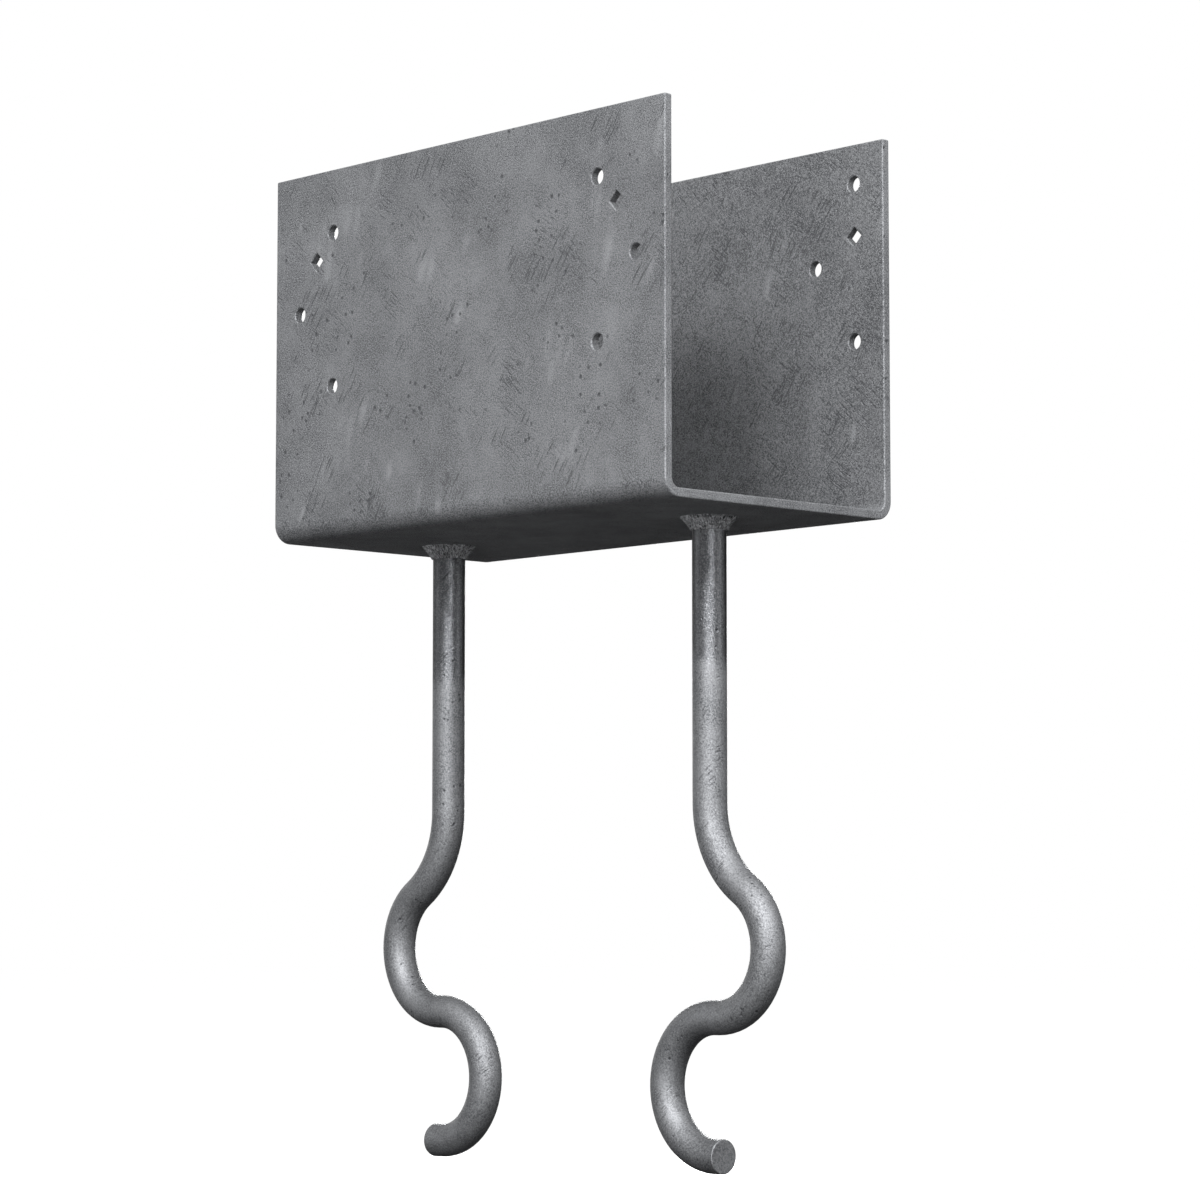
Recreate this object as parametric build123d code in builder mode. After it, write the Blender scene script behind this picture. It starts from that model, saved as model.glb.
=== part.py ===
from build123d import *
import os

# Column cap for a timber beam on a concrete or masonry column.
# Sizes are in millimetres and angles in degrees. X runs along the beam, Y across it and Z up.
# The origin is the centre of the seat's underside, the face that bears on the column.

# Saddle: one sheet, bent up along both long sides
seat_length = 279.4
clear_width = 139.7
flange_height = 177.8
sheet_thickness = 4.55
inside_bend_radius = 4.45
sheared_edge_radius = 0.8

# Punched holes in the flanges
bolt_hole_diameter = 7.6
nail_hole_side = 6.6
hole_rim_chamfer = 0.45
hole_end_distance = 19.05
hole_stagger = 25.4
hole_row_pitch = 38.1
near_first_row_drop = 31.75
far_first_row_drop = 19.05
near_nail_hole_end_distance = 31.75
nail_hole_drop = 44.45

# Anchor bars: smooth round bar, butted to the seat and hooked for casting in
bar_diameter = 16.2
bar_end_distance = 47.1
shank_length = 133.35
swan_neck_radius = 47.6
swan_neck_angle = 58.0
hook_radius = 31.75
hook_return_angle = 180.0
hook_link_length = 2.4
hook_tail_length = 5.4
bar_end_radius = 0.6

# Fillet weld bead round the top of each bar
weld_seat_leg = 5.6
weld_bar_leg = 6.4
weld_hollow = 0.7

# Derived sizes
half_length = seat_length / 2
inner_half_width = clear_width / 2
outer_half_width = inner_half_width + sheet_thickness
flange_top = sheet_thickness + flange_height
bar_offset = half_length - bar_end_distance
bar_radius = bar_diameter / 2
# The tail comes out level, so the turn back makes up for both outward turns.
hook_turn_back_angle = swan_neck_angle + hook_return_angle - 90.0


def flange_plane(side):
    """Outer face of a flange, seen from outside, with its origin at the middle of the top edge."""
    return Plane(
        origin=(0, side * outer_half_width, flange_top),
        x_dir=(-side, 0, 0),
        z_dir=(0, side, 0),
    )


def mirrored_places(places):
    """Turn (distance from the flange's end, drop from its top edge) into places at both ends."""
    return [
        (end * (half_length - end_distance), -drop)
        for end_distance, drop in places
        for end in (-1, 1)
    ]


def staggered_rows(first_drop, end_distances):
    """One hole a row, each row a pitch below the one before."""
    return [
        (end_distance, first_drop + row * hole_row_pitch)
        for row, end_distance in enumerate(end_distances)
    ]


def bar_plane(side):
    """Plane of a bar's bends, with local x away from the saddle's centre and local y up."""
    return Plane(
        origin=(side * bar_offset, 0, 0),
        x_dir=(side, 0, 0),
        z_dir=(0, -side, 0),
    )


# Saddle
inner_hole_distance = hole_end_distance + hole_stagger
near_holes = staggered_rows(
    near_first_row_drop, (inner_hole_distance, hole_end_distance, inner_hole_distance)
)
far_holes = staggered_rows(
    far_first_row_drop, (hole_end_distance, inner_hole_distance, hole_end_distance)
)
near_nail_hole = [(near_nail_hole_end_distance, nail_hole_drop)]
far_nail_hole = [(hole_end_distance, nail_hole_drop)]

with BuildPart() as saddle:
    # The U section follows the inner face of the sheet and is offset to the outside.
    with BuildSketch(Plane.YZ) as section:
        with BuildLine() as inner_face:
            FilletPolyline(
                (-inner_half_width, flange_top),
                (-inner_half_width, sheet_thickness),
                (inner_half_width, sheet_thickness),
                (inner_half_width, flange_top),
                radius=inside_bend_radius,
            )
            offset(amount=sheet_thickness, side=Side.RIGHT)
        make_face()
    extrude(amount=half_length, both=True)

    # Sheared edges are rounded by the zinc: both end faces and the tops of the flanges.
    sheared_faces = saddle.faces().filter_by(Axis.X) + saddle.faces().filter_by(Axis.Z).group_by(Axis.Z)[-1]
    fillet(sheared_faces.edges(), radius=sheared_edge_radius)

    for side, bolt_holes, nail_hole in ((-1, near_holes, near_nail_hole), (1, far_holes, far_nail_hole)):
        with BuildSketch(flange_plane(side)) as punches:
            with Locations(*mirrored_places(bolt_holes)):
                Circle(bolt_hole_diameter / 2)
            # The nail holes are square and stand on a corner.
            with Locations(*mirrored_places(nail_hole)):
                Rectangle(nail_hole_side, nail_hole_side, rotation=45)
        extrude(amount=-sheet_thickness, mode=Mode.SUBTRACT)

    flange_faces = saddle.faces().filter_by(Axis.Y)
    hole_rims = [
        edge
        for face in flange_faces
        for wire in face.inner_wires()
        for edge in wire.edges()
    ]
    chamfer(hole_rims, length=hole_rim_chamfer)
saddle.part.label = "saddle"


def anchor_bar(side):
    """Round bar from the seat's underside down to its level tail, bent three times in one plane."""
    with BuildPart() as bar:
        with BuildLine(bar_plane(side)) as centre_line:
            shank = Line((0, 0), (0, -shank_length))
            swan_neck = JernArc(shank @ 1, shank % 1, swan_neck_radius, swan_neck_angle)
            turn_back = JernArc(swan_neck @ 1, swan_neck % 1, hook_radius, -hook_turn_back_angle)
            link = PolarLine(turn_back @ 1, hook_link_length, direction=turn_back % 1)
            hook_return = JernArc(link @ 1, link % 1, hook_radius, hook_return_angle)
            tail = PolarLine(hook_return @ 1, hook_tail_length, direction=hook_return % 1)
        with BuildSketch(Plane(origin=shank @ 0, z_dir=shank % 0)) as bar_section:
            Circle(bar_radius)
        sweep(path=centre_line.line)
        tail_face = bar.faces().filter_by(GeomType.PLANE).sort_by(Axis.Z)[0]
        fillet(tail_face.edges(), radius=bar_end_radius)
    return bar


def weld_bead(side):
    """Hollow-faced fillet weld between the seat's underside and the bar."""
    with BuildPart() as bead:
        with BuildSketch(bar_plane(side)) as bead_section:
            with BuildLine() as bead_outline:
                legs = Polyline((bar_radius, -weld_bar_leg), (bar_radius, 0), (bar_radius + weld_seat_leg, 0))
                SagittaArc(legs @ 1, legs @ 0, weld_hollow)
            make_face()
        revolve(axis=Axis(bar_plane(side).origin, (0, 0, 1)))
    return bead


anchor_bar_left = anchor_bar(-1)
anchor_bar_left.part.label = "anchor_bar_left"
anchor_bar_right = anchor_bar(1)
anchor_bar_right.part.label = "anchor_bar_right"
weld_left = weld_bead(-1)
weld_left.part.label = "weld_left"
weld_right = weld_bead(1)
weld_right.part.label = "weld_right"

os.makedirs("parts", exist_ok=True)
export_step(saddle.part, "parts/saddle.step")
export_step(anchor_bar_left.part, "parts/anchor_bar_left.step")
export_step(anchor_bar_right.part, "parts/anchor_bar_right.step")
export_step(weld_left.part, "parts/weld_left.step")
export_step(weld_right.part, "parts/weld_right.step")
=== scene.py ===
import math
from typing import NamedTuple

import bpy
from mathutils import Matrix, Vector


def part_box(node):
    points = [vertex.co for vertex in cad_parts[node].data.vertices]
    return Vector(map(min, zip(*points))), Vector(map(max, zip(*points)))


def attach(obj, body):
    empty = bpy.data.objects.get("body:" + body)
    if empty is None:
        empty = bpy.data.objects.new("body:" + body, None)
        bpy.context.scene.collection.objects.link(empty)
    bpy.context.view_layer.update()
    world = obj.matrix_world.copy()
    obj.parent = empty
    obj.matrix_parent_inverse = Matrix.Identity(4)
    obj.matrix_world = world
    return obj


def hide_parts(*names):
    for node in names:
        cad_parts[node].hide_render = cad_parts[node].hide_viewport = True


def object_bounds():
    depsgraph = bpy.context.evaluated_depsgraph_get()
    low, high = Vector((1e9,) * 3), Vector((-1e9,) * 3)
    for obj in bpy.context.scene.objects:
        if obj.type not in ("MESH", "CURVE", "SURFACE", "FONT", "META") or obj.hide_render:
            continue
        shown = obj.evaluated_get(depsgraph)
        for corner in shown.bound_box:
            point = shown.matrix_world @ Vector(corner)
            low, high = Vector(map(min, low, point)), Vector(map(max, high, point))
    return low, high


bl_info = {
    "name": "Column Cap",
    "version": (1, 0, 0),
    "blender": (4, 5, 0),
    "location": "3D View > Sidebar > Column Cap",
    "description": "Dresses the packed column cap in hot-dip zinc and sets it in a plain studio",
    "category": "Object",
}

# The frame is in metres: X along the beam, Y across it, Z up, origin at the middle of the seat's underside.
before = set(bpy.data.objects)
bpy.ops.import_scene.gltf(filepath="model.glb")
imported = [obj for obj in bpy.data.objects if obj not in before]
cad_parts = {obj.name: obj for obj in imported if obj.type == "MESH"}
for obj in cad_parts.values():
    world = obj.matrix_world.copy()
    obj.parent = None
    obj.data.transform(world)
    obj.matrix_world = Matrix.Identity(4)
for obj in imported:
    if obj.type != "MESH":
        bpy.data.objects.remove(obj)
cad_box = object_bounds()

MM = 0.001
SADDLE = "saddle"
BARS = {"left": "anchor_bar_left", "right": "anchor_bar_right"}
WELDS = {"left": "weld_left", "right": "weld_right"}


def axis_of(node):
    """X of a round node's upright axis, from the middle of its box."""
    low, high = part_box(node)
    return (low.x + high.x) / 2


# Radii and drop of the weld beads, read from the frame: the seat's underside is at z = 0.
WELD_LOW, WELD_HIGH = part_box(WELDS["right"])
WELD_AXIS = axis_of(WELDS["right"])
TOE_RADIUS = (WELD_HIGH.x - WELD_LOW.x) / 2
BAR_LOW, BAR_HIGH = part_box(BARS["right"])
BAR_RADIUS = (BAR_HIGH.y - BAR_LOW.y) / 2
WELD_DROP = WELD_HIGH.z - WELD_LOW.z


class Marks(NamedTuple):
    """Oval marks that lie in clusters on a coat."""

    tilt: float  # degrees from +X
    spacing_mm: tuple  # along the marks' own three axes
    radius: float  # share of the spacing
    patch_mm: float  # size of the clusters
    patch_from: float  # level of the cluster noise from which marks show
    shift: float  # metres, another for each kind so that their places differ


class Lamp(NamedTuple):
    """Soft area lamp that looks at the object."""

    azimuth: float  # degrees from -Y towards +X
    elevation: float  # degrees
    size: tuple  # metres
    power: float  # watts


# Sizes of the zinc's patterns
CLOUD_MM = 60
MOTTLE_MM = 14
# Real crystals of such zinc are about 0.2 mm, too fine to show, so they are drawn coarser.
SHEET_CRYSTAL_MM = 0.61
BAR_CRYSTAL_MM = 0.8
BEAD_CRYSTAL_MM = 0.8
# Height in metres that a step of 1 in a pattern stands for in the relief
RELIEF_DEPTH = 0.6 * MM

# Marks of handling on the sheet wander this far, in waves of this size.
DRIFT_REACH = 11 * MM
DRIFT_MM = 45
# Range of the cluster noise over which marks fade out
PATCH_EDGE = 0.06
SHEET_SCRATCHES = Marks(55, (15, 9, 1.2), 0.36, 24, 0.545, 0.1)
SHEET_FINE_SCRATCHES = Marks(-40, (8, 5, 1.1), 0.36, 30, 0.54, 0.5)
SHEET_SMEARS = Marks(72, (34, 30, 9), 0.35, 40, 0.52, 0.3)
SHEET_PITS = Marks(0, (4.2, 4.2, 4.2), 0.18, 30, 0.535, 0.2)
BAR_SCRATCHES = Marks(50, (9, 5, 1.2), 0.33, 14, 0.54, 0.6)
BAR_PITS = Marks(0, (3.4, 3.4, 3.4), 0.2, 22, 0.5, 0.4)

# The bars' change of tone, out of the painted shade under the seat, and of roughness: the mottle makes its
# height ragged and adds 15 mm to it on average.
CHANGE_RAGGED = 30 * MM
CHANGE_TOP = 21 * MM
CHANGE_FOOT = 8 * MM

# Ridges of the bead's coat: how many lie round it, and how long they are
RIDGES_ROUND = 95
RIDGE_DROP_MM = 1.8
# Waves of the bead's crinkled face: texture, size in millimetres and share of the crinkle's height
CRINKLES = (("CLOUDS", 2.2, 0.8), ("STUCCI", 0.9, 0.9), ("CLOUDS", 0.6, 0.8))
CRINKLE_DETAIL = 2

# Studio, in metres
SENSOR_WIDTH_MM = 36
FLOOR_SIZE = 60
FLAG_LIFT = 0.01
FLAG_FRONT = -0.8
FLAG_BACK = 4.0
FLAG_WIDTH = 8.0
FLAG_BEHIND_PLACE = (-0.947, 0.89, 0.22)
FLAG_BEHIND_SIZE = (5.5, 1.55)
LAMP_TARGET = Vector((0, 0, -0.06))
LAMP_DISTANCE = 4.4
LAMPS = {
    # High on either side of the camera, for both flanges
    "key_lamp": Lamp(27, 31, (1.0, 1.0), 335),
    "fill_lamp": Lamp(36, 26, (1.0, 1.0), 205),
    "rim_lamp": Lamp(60, 42, (0.6, 0.6), 80),
    # For the light strip down the bars
    "front_strip": Lamp(62, 3, (0.5, 1.8), 100),
    # For the bend and the underside
    "low_lamp": Lamp(35, -30, (2.0, 1.2), 58),
    # For the sheet's end faces and the far flange
    "right_lamp": Lamp(90, 45, (1.6, 1.6), 270),
    # For the edges of the bars
    "back_lamp": Lamp(115, 5, (1.2, 1.6), 30),
    "left_lamp": Lamp(-45, 0, (1.6, 1.6), 17),
    "edge_lamp": Lamp(-100, 5, (1.2, 1.6), 45),
    # Opposite the camera, for the back
    "rear_lamp": Lamp(222, 9, (1.6, 1.2), 480),
}


def linear(hex_colour):
    """Turn an sRGB hex colour into the linear RGBA that a shader socket takes."""
    channels = [int(hex_colour[i : i + 2], 16) / 255 for i in (1, 3, 5)]
    return (*[c / 12.92 if c <= 0.04045 else ((c + 0.055) / 1.055) ** 2.4 for c in channels], 1.0)


def per_metre(size_mm):
    """Pattern scale for features of a real size in millimetres."""
    return 1 / (size_mm * MM)


def direction(azimuth, elevation):
    """Unit vector away from the object, with the azimuth from -Y towards +X, in radians."""
    level = math.cos(elevation)
    return Vector((math.sin(azimuth) * level, -math.cos(azimuth) * level, math.sin(elevation)))


def colour_property(name, hex_colour, description):
    return bpy.props.FloatVectorProperty(
        name=name, description=description, subtype="COLOR", size=4, min=0, max=1,
        default=linear(hex_colour),
    )


def length_property(name, metres, description):
    return bpy.props.FloatProperty(
        name=name, description=description, default=metres, unit="LENGTH", subtype="DISTANCE", precision=5
    )


def angle_property(name, degrees, description):
    return bpy.props.FloatProperty(
        name=name, description=description, default=math.radians(degrees), unit="ROTATION"
    )


def factor_property(name, factor, description):
    return bpy.props.FloatProperty(
        name=name, description=description, default=factor, min=0, max=1, subtype="FACTOR"
    )


class ZincCoatSettings(bpy.types.PropertyGroup):
    """Hot-dip zinc: its colours and its dullness on the sheet, the bars and the beads."""

    sheet_dark: colour_property("Sheet, dark", "#424345", "Zinc-iron alloy that shows through the coat")
    sheet_light: colour_property("Sheet, light", "#737476", "Zinc-rich coat on the sheet")
    # The bar's dark colour is partly painted shade: near the weld it paints the seat's shadow on the bar,
    # down to the bar's change of tone.
    bar_dark_and_shade: colour_property("Bar, dark", "#3d3e40", "Alloyed coat near the weld, where the bar was hottest")
    bar_light: colour_property("Bar, light", "#757678", "Zinc-rich coat lower on the bar")
    bar_change: length_property("Bar change of tone", -0.066, "Height at which the bar's coat turns lighter")
    # The bead's two colours are painted shade in its crevices and a painted highlight on its crests.
    bead_dark_and_crevice_shade: colour_property("Bead, dark", "#262728", "Crevices of the weld bead")
    bead_light_and_crest_highlight: colour_property("Bead, light", "#8e8f91", "Crests of the weld bead")
    sheet_roughness: factor_property("Sheet roughness", 0.75, "Dullness of the coat on the sheet")
    bar_roughness: factor_property("Bar roughness", 0.64, "Dullness of the coat lower on the bar")
    satin_roughness: factor_property("Satin roughness", 0.36, "Dullness of the alloyed coat near the weld")


class WeldBeadSettings(bpy.types.PropertyGroup):
    """Form of the fillet weld bead."""

    hollow: length_property("Hollow", 0.4 * MM, "How far the face lies behind the straight line of its legs")
    root: length_property("Root", 0.5 * MM, "How far the bead's edges run into the sheet and the bar")
    lip: length_property("Lip", 0.5 * MM, "How far the bead's lower edge stands off the bar")
    crinkle: length_property("Crinkle", 0.45 * MM, "Height of the bead's uneven face")
    segments: bpy.props.IntProperty(name="Segments", description="Faces round the bead", default=256, min=64)
    rings: bpy.props.IntProperty(name="Rings", description="Faces across the bead", default=30, min=8)


class StudioSettings(bpy.types.PropertyGroup):
    """Place of the camera and height of the floor."""

    camera_place: bpy.props.FloatVectorProperty(
        name="Camera place", description="Where the camera stands", size=3, unit="LENGTH",
        default=(1.32751, -1.23051, -0.19478),
    )
    azimuth: angle_property("Azimuth", 46.779, "Camera's angle round the object")
    elevation: angle_property("Elevation", -5.111, "Camera's angle above the object")
    lens: bpy.props.FloatProperty(
        name="Lens", description="Focal length on a sensor 36 mm wide", unit="CAMERA", default=112.584
    )
    floor_drop: length_property("Floor drop", 0.25, "How far the floor lies below the hooks")


def add_node(tree, kind, links=(), **settings):
    """Add a node; links gives its sockets a value or another node's output, settings its own options."""
    node = tree.nodes.new(kind)
    for name, value in settings.items():
        setattr(node, name, value)
    for socket, source in dict(links).items():
        if isinstance(source, bpy.types.NodeSocket):
            tree.links.new(source, node.inputs[socket])
        else:
            node.inputs[socket].default_value = source
    return node


def new_material(name):
    """Empty material and its node tree."""
    material = bpy.data.materials.new(name)
    material.use_nodes = True
    material.node_tree.nodes.clear()
    return material, material.node_tree


def zinc_patterns(tree, crystal_mm):
    """Patterns that every zinc-coated piece shares: clouds and mottle lie round 0.5, the grain round 0."""
    place = add_node(tree, "ShaderNodeTexCoord").outputs["Object"]
    clouds = add_node(
        tree, "ShaderNodeTexNoise",
        {"Vector": place, "Scale": per_metre(CLOUD_MM), "Detail": 4, "Roughness": 0.55, "Distortion": 0.6},
    ).outputs["Fac"]
    mottle = add_node(
        tree, "ShaderNodeTexNoise",
        {"Vector": place, "Scale": per_metre(MOTTLE_MM), "Detail": 5, "Roughness": 0.6, "Distortion": 0.3},
    ).outputs["Fac"]
    crystals = add_node(
        tree, "ShaderNodeTexNoise",
        {"Vector": place, "Scale": per_metre(crystal_mm), "Detail": 2, "Roughness": 0.7, "Distortion": 0.4},
    ).outputs["Fac"]
    # The crystals stand out more where the mottle is dark.
    strength = add_node(
        tree, "ShaderNodeMapRange",
        {"Value": mottle, "From Min": 0.4, "From Max": 0.65, "To Min": 1.25, "To Max": 0.8},
    ).outputs["Result"]
    centred = add_node(tree, "ShaderNodeMath", {0: crystals, 1: 0.5}, operation="SUBTRACT").outputs["Value"]
    grain = add_node(tree, "ShaderNodeMath", {0: centred, 1: strength}, operation="MULTIPLY").outputs["Value"]
    return place, clouds, mottle, grain


def wandering(tree, place):
    """The place shifted softly to and fro, so that marks in one direction aren't dead parallel."""
    drift = add_node(
        tree, "ShaderNodeTexNoise", {"Vector": place, "Scale": per_metre(DRIFT_MM), "Detail": 1}
    ).outputs["Color"]
    centred = add_node(
        tree, "ShaderNodeVectorMath", {0: drift, 1: (0.5, 0.5, 0.5)}, operation="SUBTRACT"
    ).outputs["Vector"]
    return add_node(
        tree, "ShaderNodeVectorMath", {0: centred, 1: (DRIFT_REACH, DRIFT_REACH, DRIFT_REACH), 2: place},
        operation="MULTIPLY_ADD",
    ).outputs["Vector"]


def marked(tree, place, marks, within=1.0):
    """Marks of one kind, from 0 between them to within at their middle."""
    turned = add_node(
        tree, "ShaderNodeMapping",
        {
            "Vector": place,
            "Location": (marks.shift, marks.shift, marks.shift),
            "Rotation": (0, math.radians(marks.tilt), 0),
        },
        vector_type="POINT",
    ).outputs["Vector"]
    scaled = add_node(
        tree, "ShaderNodeVectorMath", {0: turned, 1: tuple(per_metre(size) for size in marks.spacing_mm)},
        operation="MULTIPLY",
    ).outputs["Vector"]
    cells = add_node(tree, "ShaderNodeTexVoronoi", {"Vector": scaled, "Scale": 1}, feature="F1").outputs
    # Each cell's random colour sets how far its mark reaches, round the radius on average.
    reach = add_node(
        tree, "ShaderNodeMath", {0: cells["Color"], 1: marks.radius * 2}, operation="MULTIPLY"
    ).outputs["Value"]
    depth = add_node(
        tree, "ShaderNodeMapRange",
        {"Value": cells["Distance"], "From Min": reach, "From Max": 0, "To Min": 0, "To Max": within},
    ).outputs["Result"]
    patch = add_node(
        tree, "ShaderNodeTexNoise", {"Vector": turned, "Scale": per_metre(marks.patch_mm), "Detail": 2}
    ).outputs["Fac"]
    shown = add_node(
        tree, "ShaderNodeMapRange",
        {
            "Value": patch, "From Min": marks.patch_from, "From Max": marks.patch_from + PATCH_EDGE,
            "To Min": 0, "To Max": 1,
        },
    ).outputs["Result"]
    return add_node(tree, "ShaderNodeMath", {0: depth, 1: shown}, operation="MULTIPLY").outputs["Value"]


def by_facing(tree, axis, start, end, away, facing):
    """Value away where a face looks across the axis, and facing where it looks along it, either way."""
    normal = add_node(tree, "ShaderNodeTexCoord").outputs["Normal"]
    along = add_node(tree, "ShaderNodeSeparateXYZ", {"Vector": normal}).outputs[axis]
    size = add_node(tree, "ShaderNodeMath", {0: along}, operation="ABSOLUTE").outputs["Value"]
    return add_node(
        tree, "ShaderNodeMapRange",
        {"Value": size, "From Min": start, "From Max": end, "To Min": away, "To Max": facing},
    ).outputs["Result"]


def weighted_sum(tree, start, terms):
    """start plus each (value, weight) in terms."""
    total = start
    for value, weight in terms:
        total = add_node(
            tree, "ShaderNodeMath", {0: value, 1: weight, 2: total}, operation="MULTIPLY_ADD"
        ).outputs["Value"]
    return total


def zinc_shader(tree, tone, dark, light, height, roughness):
    """Metal of that tone between two colours, with that relief, on the material's output."""
    colour = add_node(
        tree, "ShaderNodeMix", {"Factor": tone, "A": dark, "B": light}, data_type="RGBA", clamp_factor=True
    ).outputs["Result"]
    relief = add_node(
        tree, "ShaderNodeBump", {"Height": height, "Distance": RELIEF_DEPTH, "Strength": 1.0}
    ).outputs["Normal"]
    metal = add_node(
        tree, "ShaderNodeBsdfPrincipled",
        {"Base Color": colour, "Metallic": 1.0, "Roughness": roughness, "Normal": relief},
    ).outputs["BSDF"]
    add_node(tree, "ShaderNodeOutputMaterial", {"Surface": metal})


def galvanised_sheet(zinc):
    """Hot-dip galvanised steel plate: dull grey zinc in soft clouds, scuffed by handling and pitted."""
    # Steel plate dipped in molten zinc. The steel's own alloy grows through the coat in darker clouds.
    material, tree = new_material("hot_dip_galvanised_sheet")
    place, clouds, mottle, grain = zinc_patterns(tree, SHEET_CRYSTAL_MM)
    # Only the flat of the flanges is scuffed, and the zinc has run smooth on the sheared ends.
    flange = by_facing(tree, "Y", 0.8, 0.98, 0, 1)
    grain_relief = by_facing(tree, "X", 0.1, 0.6, 0.42, 0.12)
    wander = wandering(tree, place)
    scratches = marked(tree, wander, SHEET_SCRATCHES, flange)
    fine_scratches = marked(tree, wander, SHEET_FINE_SCRATCHES, flange)
    smears = marked(tree, wander, SHEET_SMEARS, flange)
    pits = marked(tree, place, SHEET_PITS)
    tone = weighted_sum(
        tree, -0.33,
        (
            (clouds, 0.9), (mottle, 0.68), (grain, 3.6),
            (scratches, -0.78), (fine_scratches, -0.52), (smears, 0.5), (pits, -1.3),
        ),
    )
    height = weighted_sum(
        tree, 0.0,
        (
            (grain, grain_relief), (mottle, 0.5),
            (scratches, -0.33), (fine_scratches, -0.22), (pits, -0.6),
        ),
    )
    zinc_shader(tree, tone, zinc.sheet_dark, zinc.sheet_light, height, zinc.sheet_roughness)
    return material


def galvanised_bar(zinc):
    """Hot-dip galvanised round bar: satin near the weld, with painted shade from the seat above, lighter and
    duller below.
    """
    # Drawn bar dipped after welding. Near the weld the coat is satin, and its darker tone there is painted
    # shade from the seat above.
    material, tree = new_material("hot_dip_galvanised_bar")
    place, clouds, mottle, grain = zinc_patterns(tree, BAR_CRYSTAL_MM)
    scratches = marked(tree, place, BAR_SCRATCHES)
    pits = marked(tree, place, BAR_PITS)
    height_up = add_node(tree, "ShaderNodeSeparateXYZ", {"Vector": place}).outputs["Z"]
    ragged = add_node(
        tree, "ShaderNodeMath", {0: mottle, 1: CHANGE_RAGGED, 2: height_up}, operation="MULTIPLY_ADD"
    ).outputs["Value"]
    lower = add_node(
        tree, "ShaderNodeMapRange",
        {
            "Value": ragged, "To Min": 0, "To Max": 1,
            "From Min": zinc.bar_change + CHANGE_TOP, "From Max": zinc.bar_change + CHANGE_FOOT,
        },
        interpolation_type="SMOOTHSTEP",
    ).outputs["Result"]
    # The tone rises below the change, and above it the darker tone is painted shade from the seat.
    tone = weighted_sum(
        tree, -0.45,
        ((lower, 0.35), (clouds, 0.5), (mottle, 0.6), (grain, 1.7), (scratches, -0.4), (pits, -0.9)),
    )
    height = weighted_sum(tree, 0.0, ((grain, 0.22), (mottle, 0.12), (scratches, -0.3), (pits, -0.5)))
    roughness = add_node(
        tree, "ShaderNodeMapRange",
        {
            "Value": lower, "From Min": 0, "From Max": 1,
            "To Min": zinc.satin_roughness, "To Max": zinc.bar_roughness,
        },
    ).outputs["Result"]
    zinc_shader(tree, tone, zinc.bar_dark_and_shade, zinc.bar_light, height, roughness)
    return material


def bead_ridges(tree, place):
    """Crumpled ridges that run down the face of either bead, from 0 to 1."""
    parts = add_node(tree, "ShaderNodeSeparateXYZ", {"Vector": place}).outputs
    from_middle = add_node(tree, "ShaderNodeMath", {0: parts["X"]}, operation="ABSOLUTE").outputs["Value"]
    from_axis = add_node(
        tree, "ShaderNodeMath", {0: from_middle, 1: WELD_AXIS}, operation="SUBTRACT"
    ).outputs["Value"]
    flat = add_node(tree, "ShaderNodeCombineXYZ", {"X": from_axis, "Y": parts["Y"]}).outputs["Vector"]
    angle = add_node(tree, "ShaderNodeTexGradient", {"Vector": flat}, gradient_type="RADIAL").outputs["Fac"]
    round_it = add_node(
        tree, "ShaderNodeMath", {0: angle, 1: RIDGES_ROUND}, operation="MULTIPLY"
    ).outputs["Value"]
    down_it = add_node(
        tree, "ShaderNodeMath", {0: parts["Z"], 1: per_metre(RIDGE_DROP_MM)}, operation="MULTIPLY"
    ).outputs["Value"]
    unrolled = add_node(tree, "ShaderNodeCombineXYZ", {"X": round_it, "Y": down_it}).outputs["Vector"]
    return add_node(
        tree, "ShaderNodeTexNoise",
        {"Vector": unrolled, "Scale": 1, "Detail": 2, "Roughness": 0.6, "Distortion": 0.9},
    ).outputs["Fac"]


def galvanised_bead(zinc):
    """Zinc over a rough weld, with painted shade in the crevices and a painted highlight on the crests."""
    # Arc weld dipped in molten zinc. Its tone follows the ridges of the relief: painted shade in the
    # crevices, painted highlight on the crests.
    material, tree = new_material("galvanised_weld_bead")
    place, _, mottle, grain = zinc_patterns(tree, BEAD_CRYSTAL_MM)
    ridges = bead_ridges(tree, place)
    # The ridges set both the relief and the tone, so the crevices get painted shade and the crests a painted
    # highlight.
    tone = weighted_sum(tree, -1.75, ((ridges, 4.0), (grain, 0.8), (mottle, 0.8)))
    height = weighted_sum(tree, 0.0, ((ridges, 1.6), (grain, 0.5)))
    zinc_shader(tree, tone, zinc.bead_dark_and_crevice_shade, zinc.bead_light_and_crest_highlight, height, zinc.bar_roughness)
    return material


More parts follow.
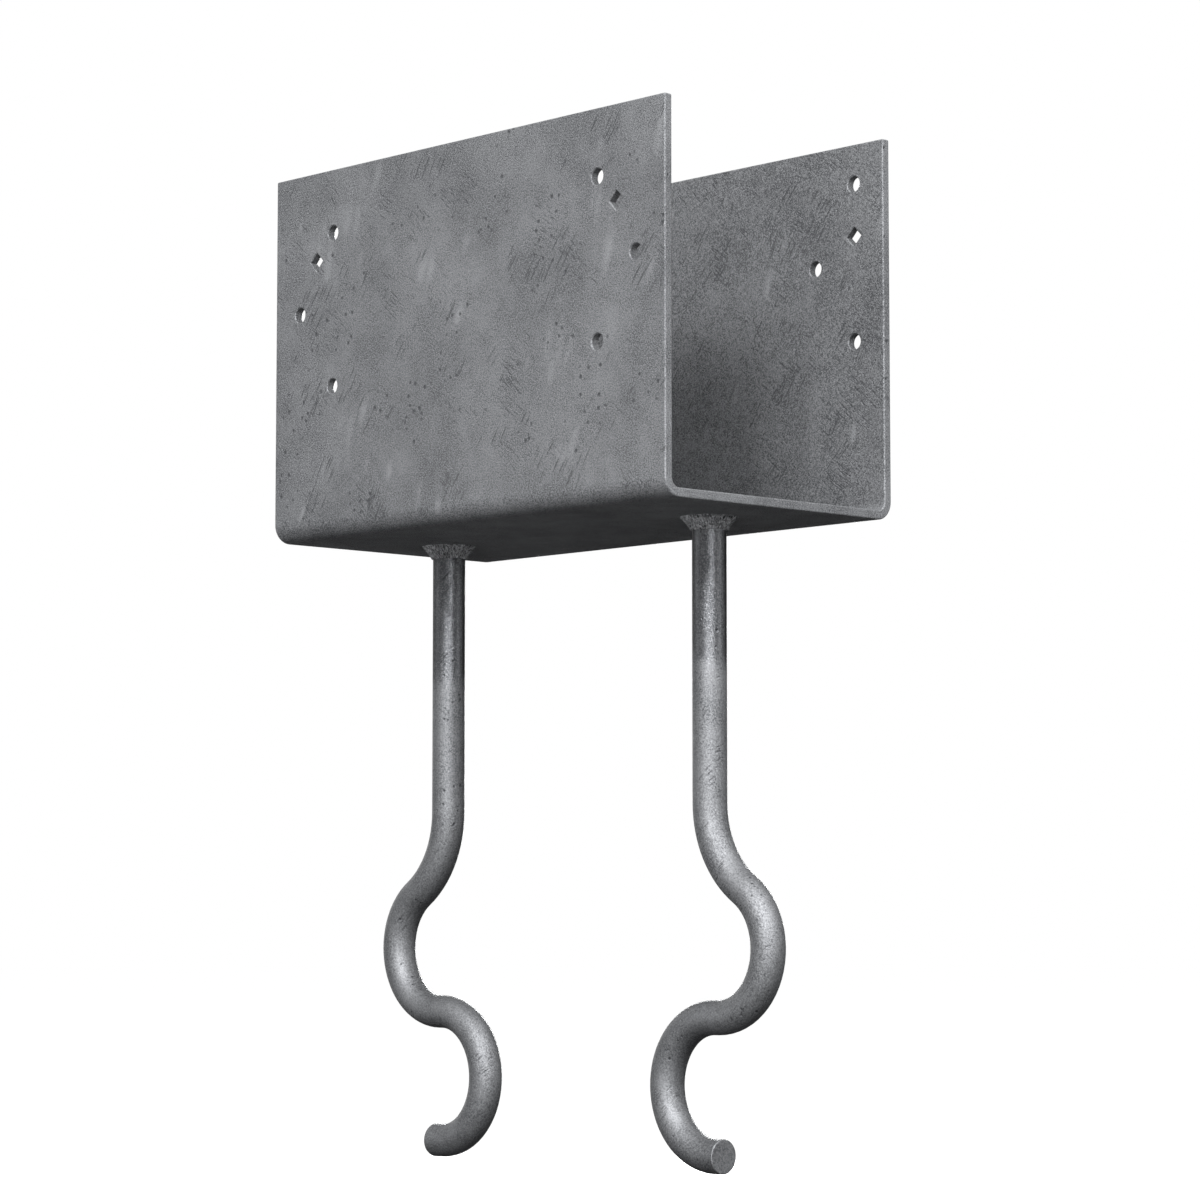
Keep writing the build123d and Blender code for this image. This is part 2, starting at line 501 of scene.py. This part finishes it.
def studio_floor():
    """White paper that looks white to the camera and in the metal, and still keeps a soft shadow."""
    material, tree = new_material("studio_floor_paper")
    paper = add_node(tree, "ShaderNodeBsdfDiffuse", {"Color": linear("#ffffff")}).outputs["BSDF"]
    white = add_node(
        tree, "ShaderNodeEmission", {"Color": linear("#ffffff"), "Strength": 1.0}
    ).outputs["Emission"]
    # Camera, glossy and transmission rays see the same floor, and lamps light the paper alone.
    path = add_node(tree, "ShaderNodeLightPath").outputs
    camera_or_glossy = add_node(
        tree, "ShaderNodeMath", {0: path["Is Camera Ray"], 1: path["Is Glossy Ray"]}, operation="MAXIMUM"
    ).outputs["Value"]
    seen = add_node(
        tree, "ShaderNodeMath", {0: camera_or_glossy, 1: path["Is Transmission Ray"]}, operation="MAXIMUM"
    ).outputs["Value"]
    share = add_node(tree, "ShaderNodeMath", {0: seen, 1: 0.8}, operation="MULTIPLY").outputs["Value"]
    both = add_node(tree, "ShaderNodeMixShader", {"Fac": share, 1: paper, 2: white}).outputs["Shader"]
    add_node(tree, "ShaderNodeOutputMaterial", {"Surface": both})
    return material


def flag_cloth():
    """Matt dark cloth of a studio flag."""
    material, tree = new_material("studio_flag_cloth")
    cloth = add_node(tree, "ShaderNodeBsdfDiffuse", {"Color": linear("#121212")}).outputs["BSDF"]
    add_node(tree, "ShaderNodeOutputMaterial", {"Surface": cloth})
    return material


def deselect_all():
    for thing in bpy.context.selected_objects:
        thing.select_set(False)


def dress(obj, material):
    """Give an object one material, by its slots alone."""
    if obj.material_slots:
        for slot in obj.material_slots:
            slot.material = material
    else:
        obj.data.materials.append(material)


class COLUMNCAP_OT_finish_saddle(bpy.types.Operator):
    """Give the bent sheet its hot-dip zinc coat"""

    bl_idname = "columncap.finish_saddle"
    bl_label = "Finish Saddle"

    def execute(self, context):
        dress(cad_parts[SADDLE], galvanised_sheet(context.scene.zinc_coat))
        return {"FINISHED"}


class COLUMNCAP_OT_finish_anchor_bars(bpy.types.Operator):
    """Give both hooked bars their hot-dip zinc coat"""

    bl_idname = "columncap.finish_anchor_bars"
    bl_label = "Finish Anchor Bars"

    def execute(self, context):
        material = galvanised_bar(context.scene.zinc_coat)
        for node in BARS.values():
            dress(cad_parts[node], material)
        return {"FINISHED"}


class COLUMNCAP_OT_add_weld_beads(bpy.types.Operator):
    """Model the crinkled weld bead once and copy it to both bars"""

    bl_idname = "columncap.add_weld_beads"
    bl_label = "Add Weld Beads"

    def profile(self, form):
        """Radius and height of each ring, from the toe in the sheet down to the lip and in to the bar."""
        start = Vector((TOE_RADIUS + form.root, form.root))
        end = Vector((BAR_RADIUS + form.lip, -WELD_DROP))
        inward = Vector((end.y - start.y, start.x - end.x)).normalized()
        for ring in range(form.rings + 1):
            share = ring / form.rings
            bow = 4 * share * (1 - share) * form.hollow
            yield start.lerp(end, share) + inward * bow
        yield Vector((BAR_RADIUS - form.root, -WELD_DROP))

    def turn_bead(self, context, form):
        """Closed ring of the bead's profile, grown from a circle at the toe."""
        rings = list(self.profile(form))
        deselect_all()
        bpy.ops.mesh.primitive_circle_add(
            vertices=form.segments, radius=rings[0].x, fill_type="NOTHING",
            location=(WELD_AXIS, 0, rings[0].y),
        )
        bead = context.object
        bead.name = "weld_bead_right"
        bpy.ops.object.mode_set(mode="EDIT")
        bpy.ops.mesh.select_mode(type="EDGE")
        bpy.ops.mesh.select_all(action="SELECT")
        radius, height = rings[0]
        for ring in rings[1:]:
            bpy.ops.mesh.extrude_edges_move(TRANSFORM_OT_translate={"value": (0, 0, ring.y - height)})
            scale = ring.x / radius
            bpy.ops.transform.resize(value=(scale, scale, 1), center_override=(WELD_AXIS, 0, ring.y))
            radius, height = ring
        # The back of the bead runs up the bar and closes on the toe.
        bpy.ops.mesh.extrude_edges_move(TRANSFORM_OT_translate={"value": (0, 0, rings[0].y - height)})
        bpy.ops.mesh.select_all(action="DESELECT")
        bpy.ops.mesh.select_non_manifold()
        bpy.ops.mesh.bridge_edge_loops()
        bpy.ops.mesh.select_all(action="SELECT")
        bpy.ops.mesh.normals_make_consistent(inside=False)
        bpy.ops.object.mode_set(mode="OBJECT")
        bpy.ops.object.transform_apply(location=True, rotation=True, scale=True)
        return bead

    def crinkle_face(self, bead, form):
        """Push the bead's face in and out, and leave its back in the bar smooth."""
        face_group = bead.vertex_groups.new(name="face")
        back_limit = BAR_RADIUS - form.root * 0.9
        for vertex in bead.data.vertices:
            from_axis = math.hypot(vertex.co.x - WELD_AXIS, vertex.co.y)
            on_back = from_axis < back_limit and vertex.co.z > -WELD_DROP
            if not on_back:
                face_group.add([vertex.index], 1.0, "REPLACE")
        for kind, size_mm, share in CRINKLES:
            texture = bpy.data.textures.new(f"bead_{kind.lower()}_{size_mm}", type=kind)
            texture.noise_scale = size_mm * MM
            if kind == "CLOUDS":
                texture.noise_depth = CRINKLE_DETAIL
            displace = bead.modifiers.new("crinkle", "DISPLACE")
            displace.texture = texture
            displace.texture_coords = "LOCAL"
            displace.vertex_group = "face"
            displace.mid_level = 0.5
            displace.strength = form.crinkle * share * 2
            bpy.ops.object.modifier_apply(modifier=displace.name)
        bpy.ops.object.shade_smooth_by_angle(angle=math.radians(60))
        bead.vertex_groups.clear()

    def copy_to_left(self, context, first):
        """Copy of the finished bead with its own mesh, at the left bar."""
        second = first.copy()
        second.data = first.data.copy()
        second.name = "weld_bead_left"
        context.collection.objects.link(second)
        second.location.x = axis_of(WELDS["left"]) - WELD_AXIS
        deselect_all()
        second.select_set(True)
        context.view_layer.objects.active = second
        bpy.ops.object.transform_apply(location=True, rotation=False, scale=False)
        return second

    def execute(self, context):
        form = context.scene.weld_bead
        first = self.turn_bead(context, form)
        self.crinkle_face(first, form)
        material = galvanised_bead(context.scene.zinc_coat)
        second = self.copy_to_left(context, first)
        for side, piece in (("right", first), ("left", second)):
            dress(piece, material)
            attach(piece, "root")
            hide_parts(WELDS[side])
        return {"FINISHED"}


class COLUMNCAP_OT_set_stage(bpy.types.Operator):
    """Set the camera, the floor, the flags and the lamps"""

    bl_idname = "columncap.set_stage"
    bl_label = "Set Stage"

    def add_camera(self, context, studio):
        deselect_all()
        bpy.ops.object.camera_add(location=studio.camera_place)
        camera = context.object
        camera.rotation_mode = "QUATERNION"
        look = -direction(studio.azimuth, studio.elevation)
        camera.rotation_quaternion = look.to_track_quat("-Z", "Y")
        camera.data.sensor_fit = "AUTO"
        camera.data.sensor_width = SENSOR_WIDTH_MM
        camera.data.lens = studio.lens
        camera.data.clip_start = 0.05
        context.scene.camera = camera

    def add_floor(self, context, height):
        deselect_all()
        bpy.ops.mesh.primitive_plane_add(size=FLOOR_SIZE, location=(0, 0, height))
        floor = context.object
        floor.name = "studio_floor"
        bpy.ops.object.transform_apply(location=True, rotation=True, scale=True)
        dress(floor, studio_floor())
        # The low lamp stands under the floor and shines through it.
        floor.visible_shadow = False

    def add_flag(self, context, name, place, rotation, size, material):
        """Dark cloth that only reflections see."""
        deselect_all()
        bpy.ops.mesh.primitive_plane_add(size=1, location=place, rotation=rotation)
        flag = context.object
        flag.name = name
        flag.scale = (*size, 1)
        bpy.ops.object.transform_apply(location=True, rotation=True, scale=True)
        dress(flag, material)
        flag.visible_camera = False
        flag.visible_shadow = False
        flag.visible_diffuse = False

    def add_lamp(self, context, name, settings):
        """Lamp that looks at the middle of the object."""
        out = direction(math.radians(settings.azimuth), math.radians(settings.elevation))
        deselect_all()
        bpy.ops.object.light_add(type="AREA", location=LAMP_TARGET + out * LAMP_DISTANCE)
        lamp = context.object
        lamp.name = name
        lamp.rotation_mode = "QUATERNION"
        lamp.rotation_quaternion = (-out).to_track_quat("-Z", "Y")
        lamp.data.shape = "RECTANGLE"
        lamp.data.size, lamp.data.size_y = settings.size
        lamp.data.energy = settings.power
        lamp.visible_camera = False

    def set_world(self, context):
        """Plain white background."""
        world = bpy.data.worlds.new("white_studio")
        context.scene.world = world
        world.use_nodes = True
        tree = world.node_tree
        tree.nodes.clear()
        background = add_node(
            tree, "ShaderNodeBackground", {"Color": linear("#ffffff"), "Strength": 1.0}
        ).outputs["Background"]
        add_node(tree, "ShaderNodeOutputWorld", {"Surface": background})
        world.cycles.sampling_method = "NONE"
        context.scene.view_settings.view_transform = "Standard"

    def execute(self, context):
        studio = context.scene.studio
        self.add_camera(context, studio)

        floor_height = cad_box[0][2] - studio.floor_drop
        self.add_floor(context, floor_height)

        # Dark flags keep the white floor and background out of the metal's underside and rims.
        cloth = flag_cloth()
        self.add_flag(
            context, "flag_below", (0, (FLAG_FRONT + FLAG_BACK) / 2, floor_height + FLAG_LIFT), (0, 0, 0),
            (FLAG_WIDTH, FLAG_BACK - FLAG_FRONT), cloth,
        )
        self.add_flag(
            context, "flag_behind", FLAG_BEHIND_PLACE, (math.radians(90), 0, studio.azimuth),
            FLAG_BEHIND_SIZE, cloth,
        )
        for name, settings in LAMPS.items():
            self.add_lamp(context, name, settings)
        self.set_world(context)
        return {"FINISHED"}


class VIEW3D_PT_column_cap(bpy.types.Panel):
    """Sizes, colours and steps of the column cap"""

    bl_label = "Column Cap"
    bl_space_type = "VIEW_3D"
    bl_region_type = "UI"
    bl_category = "Column Cap"

    def draw(self, context):
        layout = self.layout
        for settings in (context.scene.zinc_coat, context.scene.weld_bead, context.scene.studio):
            box = layout.box()
            for name in settings.__annotations__:
                box.prop(settings, name)
        for operator in STEPS:
            layout.operator(operator.bl_idname)


SETTINGS = {"zinc_coat": ZincCoatSettings, "weld_bead": WeldBeadSettings, "studio": StudioSettings}
STEPS = (
    COLUMNCAP_OT_set_stage,
    COLUMNCAP_OT_finish_saddle,
    COLUMNCAP_OT_finish_anchor_bars,
    COLUMNCAP_OT_add_weld_beads,
)


def register():
    for cls in (*SETTINGS.values(), *STEPS, VIEW3D_PT_column_cap):
        bpy.utils.register_class(cls)
    for name, cls in SETTINGS.items():
        setattr(bpy.types.Scene, name, bpy.props.PointerProperty(type=cls))


def unregister():
    for name in SETTINGS:
        delattr(bpy.types.Scene, name)
    for cls in (VIEW3D_PT_column_cap, *reversed(STEPS), *reversed(SETTINGS.values())):
        bpy.utils.unregister_class(cls)


def main():
    register()
    bpy.ops.columncap.set_stage()
    bpy.ops.columncap.finish_saddle()
    bpy.ops.columncap.finish_anchor_bars()
    bpy.ops.columncap.add_weld_beads()
    bpy.context.view_layer.update()


if __name__ == "__main__":
    main()
